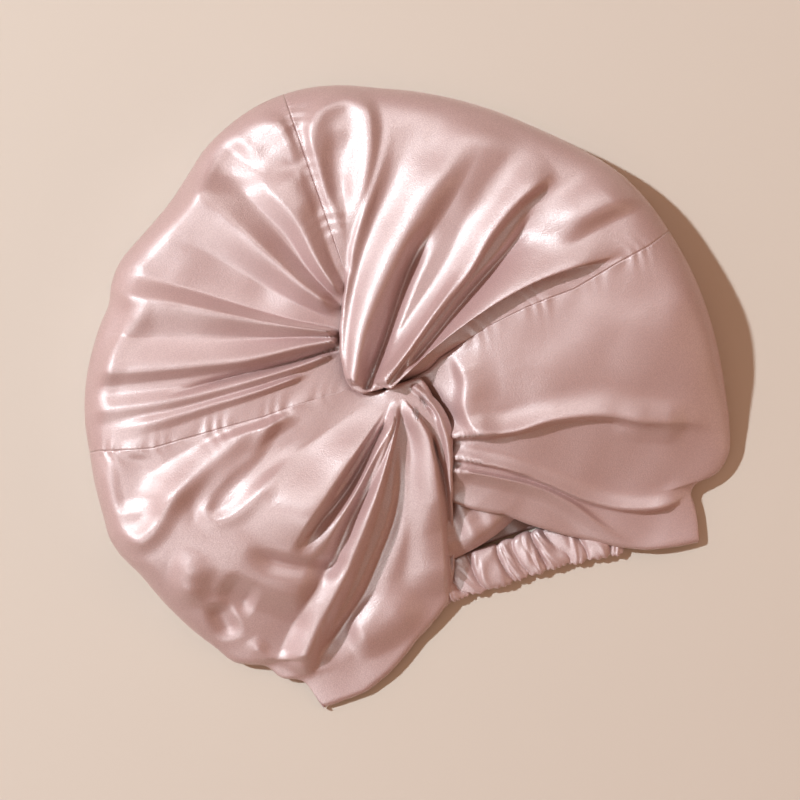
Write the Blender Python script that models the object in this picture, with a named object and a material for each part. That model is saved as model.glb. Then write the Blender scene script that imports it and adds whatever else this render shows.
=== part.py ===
# Sleep bonnet laid on its back: four gathered front panels round a twist, a flap, a back and an elastic edge.
# Metres. +Z is up from the table, and the head opening faces -Y.
import math

import bmesh
import bpy
import numpy as np

for thing in list(bpy.data.objects):
    bpy.data.objects.remove(thing)

# Named sizes
MM = 0.001
REACH = 200 * MM
WALL = 2.0 * MM
GAP = 0.4 * MM
BACK_GAP = 0.8 * MM
TWIST_X = -4.5 * MM
TWIST_Y = -10.7 * MM
CROWN_HEIGHT = 47 * MM
RIM_HEIGHT = 15 * MM
RIM_FULLNESS = 8.0
RIM_ROUND = 2.3
TURN_UNDER = 16 * MM
KNOT_DIP = 0.22
KNOT_WIDTH = 30 * MM
STACK_WIDTH = 42 * MM
MOUTH_FRONT = -150 * MM
MOUTH_BACK = -45 * MM
MOUTH_SHARE = 0.34
FOLD = 10 * MM
NARROWEST_FOLD = 6 * MM
FLAP_WALL = 1.6 * MM
FLAP_TOP_HEIGHT = 27 * MM
BAND_WIDTH = 25 * MM
BAND_HEIGHT = 8.6 * MM
GATHER_LENGTH = 8.7 * MM
GATHER_DEPTH = 0.12

# Grid steps
COLUMNS = 30
DOME_ROWS = 15
ROLL_ROWS = 4
BAND_SIDES = 10
STEPS_PER_GATHER = 3

# The rim seen from above, counted from the twist. Columns: degrees, share of reach.
OUTLINE = [
    (-50.0, 0.977), (-44.5, 0.923), (-42.8, 0.903), (-40.7, 0.910), (-38.5, 0.950), (-35.0, 0.974),
    (-29.8, 0.965), (-24.6, 0.948), (-16.0, 0.929), (-9.3, 0.918), (-1.6, 0.908), (5.5, 0.899),
    (12.5, 0.893), (19.6, 0.881), (27.5, 0.856), (36.4, 0.834), (45.4, 0.826), (60.0, 0.826),
    (67.6, 0.832), (75.2, 0.850), (81.0, 0.859), (90.0, 0.859), (97.0, 0.846), (103.0, 0.829),
    (108.5, 0.805), (114.7, 0.788), (119.6, 0.788), (125.6, 0.800), (130.0, 0.813), (135.0, 0.811),
    (139.0, 0.800), (142.6, 0.807), (148.0, 0.817), (154.0, 0.828), (163.3, 0.837), (168.0, 0.838),
    (174.0, 0.847), (180.0, 0.857), (184.5, 0.869), (187.2, 0.868), (193.0, 0.854), (200.0, 0.855),
    (207.0, 0.860), (213.0, 0.864), (217.4, 0.871), (220.0, 0.858), (222.8, 0.844), (226.2, 0.858),
    (230.5, 0.851), (235.2, 0.912),
]

# The lines where the front panels meet or end. Columns: share of reach, degrees.
SEAM_RIGHT = [
    (0.00, -5.0), (0.08, -2.6), (0.13, -0.5), (0.17, 5.0), (0.25, 6.3), (0.33, 6.8), (0.44, 5.7),
    (0.58, 3.6), (0.71, 4.2), (0.82, 4.3), (1.00, 5.8),
]
SEAM_TOP = [
    (0.00, 171.6), (0.06, 171.6), (0.09, 157.7), (0.13, 127.8), (0.18, 109.0), (0.23, 97.0),
    (0.29, 88.5), (0.33, 85.0), (1.00, 85.0),
]
SEAM_LEFT = [
    (0.00, 171.6), (0.06, 168.0), (0.10, 158.0), (0.13, 161.0), (0.20, 165.5), (0.27, 167.5),
    (0.34, 169.3), (0.50, 170.0), (0.65, 170.5), (0.80, 168.4), (1.00, 168.0),
]
HEM_LEFT = [
    (0.00, 353.0), (0.10, 353.0), (0.13, 327.0), (0.18, 313.6), (0.21, 305.7), (0.25, 294.0),
    (0.30, 284.0), (0.36, 277.0), (0.42, 272.5), (0.48, 269.6), (0.54, 266.9), (0.62, 262.7),
    (0.71, 253.1), (0.79, 247.3), (0.85, 242.5), (0.88, 238.5), (0.91, 235.2), (1.00, 235.2),
]
HEM_RIGHT = [
    (0.00, -4.5), (0.10, -4.5), (0.13, -31.0), (0.18, -44.0), (0.21, -52.0), (0.25, -63.5),
    (0.30, -74.0), (0.36, -81.5), (0.40, -79.5), (0.48, -70.7), (0.61, -64.7), (0.71, -60.7),
    (0.79, -58.2), (0.86, -55.7), (0.98, -50.0),
]

# The folds of each panel. Columns: kind, three places on its line as (degrees, share of reach),
# then height, width on its left and width on its right as shares of a fold.
LEFT_FOLDS = [
    ("ridge", (98, 0.22), (113, 0.46), (115, 0.80), 0.6, 1.3, 1.1),
    ("ridge", (104, 0.20), (122, 0.50), (129, 0.75), -0.4, 2.2, 2.0),
    ("ridge", (110, 0.17), (133, 0.40), (150, 0.72), 0.6, 0.9, 1.0),
    ("crease", (114, 0.17), (144, 0.31), (156, 0.62), -0.5, 0.6, 0.6),
    ("ridge", (139, 0.24), (152, 0.43), (163, 0.73), 0.4, 0.8, 0.8),
]
TOP_FOLDS = [
    ("ridge", (81, 0.38), (80, 0.56), (76, 0.72), -0.4, 0.9, 0.8),
    ("ridge", (149, 0.09), (82, 0.31), (68, 0.68), 0.8, 0.7, 1.3),
    ("crease", (150, 0.05), (69, 0.20), (48, 0.50), -0.6, 1.0, 1.4),
    ("ridge", (86, 0.05), (35, 0.30), (27, 0.70), 0.7, 1.6, 1.1),
    ("crease", (73, 0.03), (29, 0.28), (24, 0.64), -0.5, 0.8, 1.2),
    ("ridge", (25, 0.06), (20, 0.34), (8, 0.76), 0.8, 2.0, 0.8),
    ("ridge", (38, 0.45), (39, 0.64), (38, 0.82), 0.5, 4.0, 1.6),
]
RIGHT_FOLDS = [
    ("ridge", (8, 0.24), (-22, 0.25), (-45, 0.25), 0.4, 2.4, 0.8),
    ("ridge", (-48, 0.26), (-31, 0.53), (-30, 0.88), 0.6, 2.0, 0.8),
    ("ridge", (-66, 0.34), (-54, 0.49), (-49, 0.77), 0.4, 1.1, 0.8),
    ("ridge", (-43, 0.68), (-45, 0.78), (-42, 0.86), 0.4, 1.4, 0.9),
]
LOWER_FOLDS = [
    ("ridge", (230, 0.06), (201, 0.23), (196, 0.50), 0.6, 1.4, 1.4),
    ("crease", (270, 0.04), (234, 0.17), (218, 0.47), -0.5, 0.8, 1.2),
    ("ridge", (286, 0.05), (233, 0.36), (228, 0.82), 0.9, 1.5, 1.0),
    ("crease", (287, 0.07), (244, 0.40), (231, 0.80), -0.5, 1.2, 1.2),
    ("ridge", (174, 0.43), (176, 0.60), (179, 0.77), -0.4, 1.4, 1.2),
    ("ridge", (290, 0.06), (265, 0.33), (259, 0.59), 0.4, 0.8, 1.4),
]

# How far each panel stands over the stack at the twist. Columns: share of the panel's width, millimetres.
LEFT_STACK = [(0.0, -3.0), (1.0, 0.0)]
TOP_STACK = [(0.0, -1.0), (0.12, 4.0), (1.0, 7.0)]
RIGHT_STACK = [(0.0, -5.0), (1.0, -7.0)]
LOWER_STACK = [(0.0, 0.0), (0.5, 2.0), (1.0, 3.0)]

# The middle line of the elastic edge, counted from the twist. Columns: X and Y in millimetres.
BAND_LINE = [
    (-70.0, -125.0), (-56.0, -121.5), (-38.0, -117.0), (-15.0, -112.5), (12.0, -115.5),
    (45.0, -118.5), (78.0, -125.0), (94.0, -128.5),
]

# The flap between the two hems. Columns: share of its length from the top, share of reach, share of its drop.
FLAP_LINE = [(0.0, 0.330, 0.00), (0.3, 0.400, 0.28), (0.6, 0.465, 0.62), (1.0, 0.545, 1.00)]
FLAP_FIRST_DEGREES = 262.0
FLAP_LAST_DEGREES = 295.0


def soft_step(low, high, value):
    """0 below low, 1 above high, and a smooth rise between them."""
    share = np.clip((value - low) / (high - low), 0.0, 1.0)
    return share * share * (3 - 2 * share)


def smooth_through(rows, value):
    """A smooth curve through the rows: between two rows, a cubic that has the slopes of their neighbours."""
    table = np.asarray(rows, float)
    places = table[:, 0]
    heights = table[:, 1]
    slopes = np.gradient(heights, places)
    index = np.clip(np.searchsorted(places, value) - 1, 0, len(places) - 2)
    step = places[index + 1] - places[index]
    t = np.clip((value - places[index]) / step, 0.0, 1.0)
    start = (2 * t ** 3 - 3 * t ** 2 + 1) * heights[index]
    start_slope = (t ** 3 - 2 * t ** 2 + t) * step * slopes[index]
    end = (3 * t ** 2 - 2 * t ** 3) * heights[index + 1]
    end_slope = (t ** 3 - t ** 2) * step * slopes[index + 1]
    return start + start_slope + end + end_slope


def straight_through(rows, value):
    """Straight lines through the rows."""
    table = np.asarray(rows, float)
    return np.interp(value, table[:, 0], table[:, 1])


def place(degrees, share):
    """X and Y from the twist, for an angle and a share of reach."""
    angle = math.radians(degrees)
    return np.array([math.cos(angle), math.sin(angle)]) * share * REACH


def fold_height(fold, x, y):
    """Height of one fold. Its line is a parabola through three places, and it fades out at both ends."""
    kind, first, middle, last, height, left, right = fold
    t = np.linspace(0.0, 1.0, 25)[:, None]
    a = place(*first)
    b = place(*middle)
    c = place(*last)
    line = a * (2 * t * t - 3 * t + 1) + b * (4 * t - 4 * t * t) + c * (2 * t * t - t)
    nearest = np.full(x.shape, 9.0)
    along = np.zeros(x.shape)
    side = np.ones(x.shape)
    for k in range(len(line) - 1):
        step = line[k + 1] - line[k]
        length = float(np.hypot(*step))
        dx = x - line[k][0]
        dy = y - line[k][1]
        share = np.clip((dx * step[0] + dy * step[1]) / length ** 2, 0.0, 1.0)
        distance = np.hypot(dx - share * step[0], dy - share * step[1])
        closer = distance < nearest
        nearest = np.where(closer, distance, nearest)
        along = np.where(closer, (k + share) / (len(line) - 1), along)
        side = np.where(closer, np.sign(step[0] * dy - step[1] * dx), side)
    width = np.where(side > 0, left, right) * FOLD * (0.4 + 0.6 * along)
    width = np.maximum(width, NARROWEST_FOLD)
    across = np.clip(nearest / width, 0.0, 1.0)
    if kind == "ridge":
        profile = (1 - across ** 2) ** 2
    else:
        profile = (1 - across) ** 2
    ends = soft_step(0.0, 0.12, along) * (1 - soft_step(0.65, 1.0, along))
    return height * FOLD * profile * ends


def shell_height(radius, share, y):
    """Height of the plain front: a soft dome that dips at the twist, is upright at the rim and low at the mouth."""
    dome = np.clip(1 - share ** RIM_FULLNESS, 0.0, 1.0) ** (1 / RIM_ROUND)
    mouth = MOUTH_SHARE + (1 - MOUTH_SHARE) * soft_step(MOUTH_FRONT, MOUTH_BACK, y)
    dip = 1 - KNOT_DIP * np.exp(-(radius / KNOT_WIDTH) ** 2)
    rim = RIM_HEIGHT * (0.3 + 0.7 * mouth)
    return rim + (CROWN_HEIGHT * dip - RIM_HEIGHT) * dome * mouth


def rim_columns(first_side, second_side):
    """Share of reach of a panel's rim, column by column, and its angle in degrees after the side gaps."""
    across = np.linspace(0.0, 1.0, COLUMNS)
    first = straight_through(first_side, 1.0)
    last = straight_through(second_side, 1.0)
    drawn = first + (last - first) * across
    drawn = np.where(drawn > 300, drawn - 360, drawn)
    share = smooth_through(OUTLINE, drawn)
    trim = np.degrees(GAP / (share * REACH))
    return share, first + trim + (last - first - 2 * trim) * across


def solid_from_sheets(name, outer, inner, material):
    """A closed body between two grids of points, split the same way on both sides."""
    rows, columns = outer.shape[:2]
    count = rows * columns
    points = np.concatenate([outer.reshape(-1, 3), inner.reshape(-1, 3)])
    index = np.arange(count).reshape(rows, columns)
    a = index[:-1, :-1].ravel()
    b = index[1:, :-1].ravel()
    c = index[1:, 1:].ravel()
    d = index[:-1, 1:].ravel()
    outside = np.concatenate([np.stack([a, b, c], 1), np.stack([a, c, d], 1)])
    inside = outside[:, ::-1] + count
    edge = np.concatenate([index[0, :], index[1:, -1], index[-1, -2::-1], index[-2:0:-1, 0]])
    following = np.roll(edge, -1)
    wall = np.concatenate([
        np.stack([edge, following, following + count], 1),
        np.stack([edge, following + count, edge + count], 1),
    ])
    faces = np.concatenate([outside, inside, wall])
    return body(name, points, faces.tolist(), material)


def body(name, points, faces, material):
    """One mesh object with its faces turned outwards and shaded smooth."""
    mesh = bpy.data.meshes.new(name)
    mesh.from_pydata(points.tolist(), [], faces)
    work = bmesh.new()
    work.from_mesh(mesh)
    bmesh.ops.recalc_face_normals(work, faces=work.faces)
    if work.calc_volume(signed=True) < 0:
        bmesh.ops.reverse_faces(work, faces=work.faces)
    work.to_mesh(mesh)
    work.free()
    for face in mesh.polygons:
        face.use_smooth = True
    thing = bpy.data.objects.new(name, mesh)
    bpy.context.scene.collection.objects.link(thing)
    mesh.materials.append(material)
    return thing


def satin(name, colour, roughness):
    """Smooth woven satin in one colour."""
    material = bpy.data.materials.new(name)
    material.use_nodes = True
    surface = material.node_tree.nodes["Principled BSDF"]
    surface.inputs["Base Color"].default_value = (*colour, 1.0)
    surface.inputs["Roughness"].default_value = roughness
    surface.inputs["Sheen Weight"].default_value = 0.3
    return material


def front_panel(name, first_side, second_side, start, folds, stack, material):
    """One gathered front panel: its dome from the twist to the rim, and the roll that turns under it."""
    across = np.linspace(0.0, 1.0, COLUMNS)[:, None]
    rim_share = rim_columns(first_side, second_side)[0][:, None]
    run = np.linspace(0.0, 1.0, DOME_ROWS)[None, :]
    share = start + (1 - start) * np.sin(run * math.pi / 2) ** 1.15
    low_side = straight_through(first_side, share * rim_share[0])
    high_side = straight_through(second_side, share * rim_share[-1])
    radius = share * rim_share * REACH
    trim = np.degrees(GAP / radius)
    angle = np.radians(low_side + trim + (high_side - low_side - 2 * trim) * across)
    plain = shell_height(radius, share, radius * np.sin(angle))
    roll = np.linspace(0.0, math.pi / 2, ROLL_ROWS + 1)[None, 1:]
    roll_radius = radius[:, -1:] - TURN_UNDER * (1 - np.cos(roll))
    roll_height = plain[:, -1:] * (1 - np.sin(roll))
    radius = np.concatenate([radius, roll_radius], 1)
    plain = np.concatenate([plain, roll_height], 1)
    angle = np.concatenate([angle, np.repeat(angle[:, -1:], ROLL_ROWS, 1)], 1)
    x = radius * np.cos(angle)
    y = radius * np.sin(angle)
    out_step = np.gradient(radius, axis=1)
    up_step = np.gradient(plain, axis=1)
    length = np.hypot(out_step, up_step)
    inward = WALL * up_step / length
    downward = -WALL * out_step / length
    downward[:, -1] = WALL
    inward[:, -1] = 0.0
    form = np.zeros(x.shape)
    for fold in folds:
        form = form + fold_height(fold, x, y)
    fade = np.concatenate([1 - soft_step(0.88, 0.99, share * np.ones_like(across)), np.zeros(roll_height.shape)], 1)
    lift = straight_through(stack, across) * MM * np.exp(-(radius / STACK_WIDTH) ** 2)
    z = plain + (form + lift) * fade
    z[:, -1] = 0.0
    outer = np.stack([TWIST_X + x, TWIST_Y + y, z], -1)
    offset = np.stack([inward * np.cos(angle), inward * np.sin(angle), downward], -1)
    return solid_from_sheets(name, outer, outer + offset, material)


def band_frame(count):
    """Points, forward directions and lengths along the elastic edge's middle line."""
    table = np.asarray(BAND_LINE, float) * MM
    fine = np.linspace(table[0, 0], table[-1, 0], 800)
    line = np.stack([fine, smooth_through(table, fine)], 1)
    steps = np.hypot(*np.diff(line, axis=0).T)
    run = np.concatenate([[0.0], np.cumsum(steps)])
    wanted = np.linspace(0.0, run[-1], count)
    x = np.interp(wanted, run, line[:, 0])
    y = np.interp(wanted, run, line[:, 1])
    forward = np.stack([np.gradient(x), np.gradient(y)], 1)
    forward = forward / np.linalg.norm(forward, axis=1)[:, None]
    return x, y, forward, wanted


def elastic_band(material):
    """A flattened tube along the back of the mouth, pinched between its gathers and narrowed at both ends."""
    table = np.asarray(BAND_LINE, float) * MM
    length = float(np.sum(np.hypot(*np.diff(table, axis=0).T)))
    gathers = round(length / GATHER_LENGTH)
    count = gathers * STEPS_PER_GATHER + 1
    x, y, forward, run = band_frame(count)
    phase = np.linspace(0.0, gathers, count)
    pinch = 1 - GATHER_DEPTH * np.cos(phase * math.pi) ** 2
    ends = np.minimum(phase, gathers - phase)
    taper = 0.55 + 0.45 * soft_step(0.0, 1.5, ends)
    turn = np.linspace(0.0, 2 * math.pi, BAND_SIDES, endpoint=False) + math.pi / BAND_SIDES
    half_width = BAND_WIDTH / 2 * pinch * taper
    half_height = BAND_HEIGHT / 2 * pinch * taper
    side = np.sign(np.cos(turn)) * np.abs(np.cos(turn)) ** 0.8
    rise = np.sin(turn)
    across_x = -forward[:, 1][:, None] * half_width[:, None] * side[None, :]
    across_y = forward[:, 0][:, None] * half_width[:, None] * side[None, :]
    z = half_height[:, None] * rise[None, :]
    z = z - z.min(axis=1, keepdims=True)
    points = np.stack([TWIST_X + x[:, None] + across_x, TWIST_Y + y[:, None] + across_y, z], -1)
    index = np.arange(count * BAND_SIDES).reshape(count, BAND_SIDES)
    faces = []
    for k in range(count - 1):
        for j in range(BAND_SIDES):
            n = (j + 1) % BAND_SIDES
            a, b, c, d = int(index[k, j]), int(index[k + 1, j]), int(index[k + 1, n]), int(index[k, n])
            faces.append((a, b, c))
            faces.append((a, c, d))
    faces.append([int(v) for v in index[0]])
    faces.append([int(v) for v in index[-1]][::-1])
    return body("elastic_band", points.reshape(-1, 3), faces, material)


def inner_flap(material):
    """A thin sheet that falls from under the two crossing hems onto the elastic edge."""
    table = np.asarray(FLAP_LINE, float)
    along = np.linspace(0.0, 1.0, 7)[None, :]
    across = np.linspace(0.0, 1.0, 12)[:, None]
    radius = smooth_through(table[:, [0, 1]], along) * REACH * np.ones_like(across)
    drop = smooth_through(table[:, [0, 2]], along) * np.ones_like(across)
    angle = np.radians(FLAP_FIRST_DEGREES + (FLAP_LAST_DEGREES - FLAP_FIRST_DEGREES) * across)
    bottom = BAND_HEIGHT - GAP + FLAP_WALL
    ripple = 0.6 * MM * np.cos(across * 4 * math.pi) * (1 - drop)
    z = FLAP_TOP_HEIGHT + (bottom - FLAP_TOP_HEIGHT) * drop + ripple
    x = TWIST_X + radius * np.cos(angle)
    y = TWIST_Y + radius * np.sin(angle)
    outer = np.stack([x, y, z], -1)
    inner = np.stack([x, y, z - FLAP_WALL], -1)
    return solid_from_sheets("inner_flap", outer, inner, material)


def back_panel(material):
    """The flat back inside the turned-under rim, which ends at the elastic edge."""
    sides = [(HEM_RIGHT, SEAM_RIGHT), (SEAM_RIGHT, SEAM_TOP), (SEAM_TOP, SEAM_LEFT), (SEAM_LEFT, HEM_LEFT)]
    rim = []
    for pair in sides:
        for share, degrees in zip(*rim_columns(*pair)):
            rim.append((float(degrees), float(share) * REACH - TURN_UNDER - BACK_GAP))
    band_x, band_y, forward, run = band_frame(27)
    inside = BAND_WIDTH / 2 + GAP
    edge_x = band_x - forward[:, 1] * inside
    edge_y = band_y + forward[:, 0] * inside
    mouth = []
    for x, y in zip(edge_x, edge_y):
        degrees = math.degrees(math.atan2(y, x)) % 360
        if HEM_LEFT[-1][1] + 2 < degrees < 360 + HEM_RIGHT[-1][1] - 2:
            mouth.append((degrees, math.hypot(x, y)))
    outline = rim + mouth
    points = [(TWIST_X, TWIST_Y, 0.0), (TWIST_X, TWIST_Y, WALL)]
    for degrees, radius in outline:
        x = TWIST_X + radius * math.cos(math.radians(degrees))
        y = TWIST_Y + radius * math.sin(math.radians(degrees))
        points.append((x, y, 0.0))
        points.append((x, y, WALL))
    faces = []
    count = len(outline)
    for k in range(count):
        a = 2 + 2 * k
        b = 2 + 2 * ((k + 1) % count)
        faces.append((0, b, a))
        faces.append((1, a + 1, b + 1))
        faces.append((a, b, b + 1))
        faces.append((a, b + 1, a + 1))
    return body("back_panel", np.array(points), faces, material)


blush = (0.56, 0.36, 0.34)
front_panel("left_panel", SEAM_TOP, SEAM_LEFT, 0.130, LEFT_FOLDS, LEFT_STACK, satin("left_satin", blush, 0.36))
front_panel("top_panel", SEAM_RIGHT, SEAM_TOP, 0.014, TOP_FOLDS, TOP_STACK, satin("top_satin", blush, 0.36))
front_panel("right_panel", HEM_RIGHT, SEAM_RIGHT, 0.125, RIGHT_FOLDS, RIGHT_STACK,
            satin("right_satin", blush, 0.36))
front_panel("lower_panel", SEAM_LEFT, HEM_LEFT, 0.014, LOWER_FOLDS, LOWER_STACK,
            satin("lower_satin", blush, 0.36))
inner_flap(satin("flap_satin", blush, 0.40))
back_panel(satin("back_satin", blush, 0.40))
elastic_band(satin("band_satin", blush, 0.40))
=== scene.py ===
# %% [markdown]
# # A satin sleep bonnet with a twisted front
#
# The bonnet lies on its back on a table, as its owner lays it down. Four satin panels gather into
# a twist in the middle of the front, and the cloth opens from there in folds, as a fan does.
# This lesson builds every panel as a surface worked out with numpy: two numbers go in, one across
# the panel and one from the twist to the rim, and a point in space comes out.
#
# The frame is the plain model that physics uses. Each satin piece takes the place of one of its
# solids and keeps within a few millimetres of it.

# %% Load the frame
import math

import bpy
import numpy as np
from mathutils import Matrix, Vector


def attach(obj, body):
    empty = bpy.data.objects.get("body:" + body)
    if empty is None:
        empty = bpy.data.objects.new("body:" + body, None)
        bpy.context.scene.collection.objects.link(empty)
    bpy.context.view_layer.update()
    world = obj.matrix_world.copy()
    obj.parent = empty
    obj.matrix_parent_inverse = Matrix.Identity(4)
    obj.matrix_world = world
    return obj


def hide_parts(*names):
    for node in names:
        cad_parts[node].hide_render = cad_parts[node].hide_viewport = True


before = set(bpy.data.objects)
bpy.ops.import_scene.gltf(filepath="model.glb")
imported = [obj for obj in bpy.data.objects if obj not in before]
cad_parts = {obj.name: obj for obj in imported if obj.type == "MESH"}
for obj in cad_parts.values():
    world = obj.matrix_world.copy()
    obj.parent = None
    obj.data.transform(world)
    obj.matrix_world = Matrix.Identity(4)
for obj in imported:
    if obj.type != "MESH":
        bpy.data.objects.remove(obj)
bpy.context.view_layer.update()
print("frame nodes:", sorted(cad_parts))

# %% [markdown]
# ## Sizes
#
# Lengths are metres. The panels are drawn round the twist, so most places are an angle in degrees
# and a share of one named reach. That keeps the tables short. The head opening faces -Y, and
# angles run anticlockwise from +X, seen from above. The folds are placed with a grid laid over the
# picture. GRID is the size of one step, TWIST_ON_GRID is the twist's place on it, and PICTURE_TURN
# is the angle in degrees by which the picture is turned. TINY keeps roots and comparisons safe.

# %% Named sizes
MM = 0.001
REACH = 200 * MM
TWIST = (-4.5 * MM, -10.7 * MM)
CROWN_HEIGHT = 47 * MM
RIM_HEIGHT = 15 * MM
RIM_AT_MOUTH = 0.3
RIM_FULLNESS = 12.5
RIM_ROUND = 2.3
TURN_UNDER = 16 * MM
KNOT_DIP = 0.14
KNOT_WIDTH = 48 * MM
STACK_WIDTH = 42 * MM
MOUTH_FRONT = -142 * MM
MOUTH_BACK = -18 * MM
MOUTH_SHARE = 0.12
CLOTH = 0.8 * MM
FOLD = 10 * MM
GRID = 0.55 * MM
TWIST_ON_GRID = (385, 388)
PICTURE_TURN = 24.0
TINY = 1e-6
print("reach", REACH, "crown height", CROWN_HEIGHT)

# %% [markdown]
# ## The outline and the seams
#
# Seen from above, the rim is a soft circle with a notch beside each corner of the opening, where
# the hem band pulls it in. The outline below was measured on the real thing's picture, a row
# every few degrees. The seams are lines from the twist to the rim. Both are short tables, and a
# smooth curve runs through their rows.

# %% Outline and seam tables
# Columns: degrees, share of reach.
OUTLINE = [
    (-50.0, 0.977), (-44.5, 0.923), (-42.8, 0.903), (-40.7, 0.910), (-38.5, 0.950), (-35.0, 0.974),
    (-29.8, 0.965), (-24.6, 0.948), (-16.0, 0.929), (-9.3, 0.918), (-1.6, 0.908), (5.5, 0.899),
    (12.5, 0.893), (19.6, 0.881), (27.5, 0.856), (36.4, 0.834), (45.4, 0.826), (60.0, 0.826),
    (67.6, 0.832), (75.2, 0.850), (81.0, 0.859), (90.0, 0.859), (97.0, 0.846), (103.0, 0.829),
    (108.5, 0.805), (114.7, 0.788), (119.6, 0.788), (125.6, 0.800), (130.0, 0.813), (135.0, 0.811),
    (139.0, 0.800), (142.6, 0.807), (148.0, 0.817), (154.0, 0.828), (163.3, 0.837), (168.0, 0.838),
    (174.0, 0.847), (180.0, 0.857), (184.5, 0.869), (187.2, 0.868), (193.0, 0.854), (200.0, 0.855),
    (207.0, 0.860), (213.0, 0.864), (217.4, 0.871), (220.0, 0.858), (222.8, 0.844), (226.2, 0.858),
    (230.5, 0.851), (235.2, 0.912),
]
# Columns: share of reach, degrees.
SEAM_RIGHT = [
    (0.00, -5.0), (0.08, -2.6), (0.13, -0.5), (0.17, 5.0), (0.25, 6.3), (0.33, 6.8), (0.44, 5.7),
    (0.58, 3.6), (0.71, 4.2), (0.82, 4.3), (1.00, 5.8),
]
SEAM_TOP = [
    (0.00, 171.6), (0.06, 171.6), (0.09, 157.7), (0.13, 127.8), (0.18, 109.0), (0.23, 97.0),
    (0.29, 88.5), (0.33, 85.0), (1.00, 85.0),
]
UNDER_TOP = [
    (0.00, 150.0), (0.06, 130.0), (0.12, 98.0), (0.20, 83.0), (0.30, 80.0), (0.36, 85.0),
    (1.00, 85.0),
]
SEAM_LEFT = [
    (0.00, 171.6), (0.06, 168.0), (0.10, 158.0), (0.13, 161.0), (0.20, 165.5), (0.27, 167.5),
    (0.34, 169.3), (0.50, 170.0), (0.65, 170.5), (0.80, 168.4), (1.00, 168.0),
]
HEM_LEFT = [
    (0.00, 353.0), (0.10, 353.0), (0.13, 327.0), (0.18, 313.6), (0.21, 305.7), (0.25, 294.0),
    (0.30, 284.0), (0.36, 277.0), (0.42, 272.5), (0.48, 269.6), (0.54, 266.9), (0.62, 262.7),
    (0.71, 253.1), (0.79, 247.3), (0.85, 242.5), (0.88, 238.5), (0.91, 235.2), (1.00, 235.2),
]
HEM_RIGHT = [
    (0.00, -40.0), (0.06, -50.0), (0.13, -52.0), (0.18, -60.0), (0.21, -65.0), (0.25, -74.0),
    (0.30, -84.0), (0.34, -88.0), (0.37, -83.0), (0.48, -70.7), (0.61, -64.7), (0.71, -60.7),
    (0.79, -58.2), (0.86, -55.7), (0.98, -50.0),
]
print(len(OUTLINE), "outline rows")


# %% Curves through the tables
def soft_step(low, high, value):
    """0 below low, 1 above high, and a smooth S between them: 3t^2 - 2t^3."""
    t = np.clip((value - low) / (high - low), 0.0, 1.0)
    return t * t * (3 - 2 * t)


def smooth_through(rows, value):
    """A cubic between each two rows, with the slopes that their neighbours give."""
    table = np.asarray(rows, float)
    places, heights = table[:, 0], table[:, 1]
    slopes = np.gradient(heights, places)
    index = np.clip(np.searchsorted(places, value) - 1, 0, len(places) - 2)
    step = places[index + 1] - places[index]
    t = np.clip((value - places[index]) / step, 0.0, 1.0)
    start = (2 * t**3 - 3 * t**2 + 1) * heights[index]
    start = start + (t**3 - 2 * t**2 + t) * step * slopes[index]
    end = (3 * t**2 - 2 * t**3) * heights[index + 1] + (t**3 - t**2) * step * slopes[index + 1]
    return start + end


def straight_through(rows, value):
    """Straight lines through the rows."""
    table = np.asarray(rows, float)
    return np.interp(value, table[:, 0], table[:, 1])


rim_at_top = float(smooth_through(OUTLINE, SEAM_TOP[-1][1])) * REACH
print("rim at the top seam:", round(rim_at_top / MM, 1), "mm from the twist")
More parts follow.
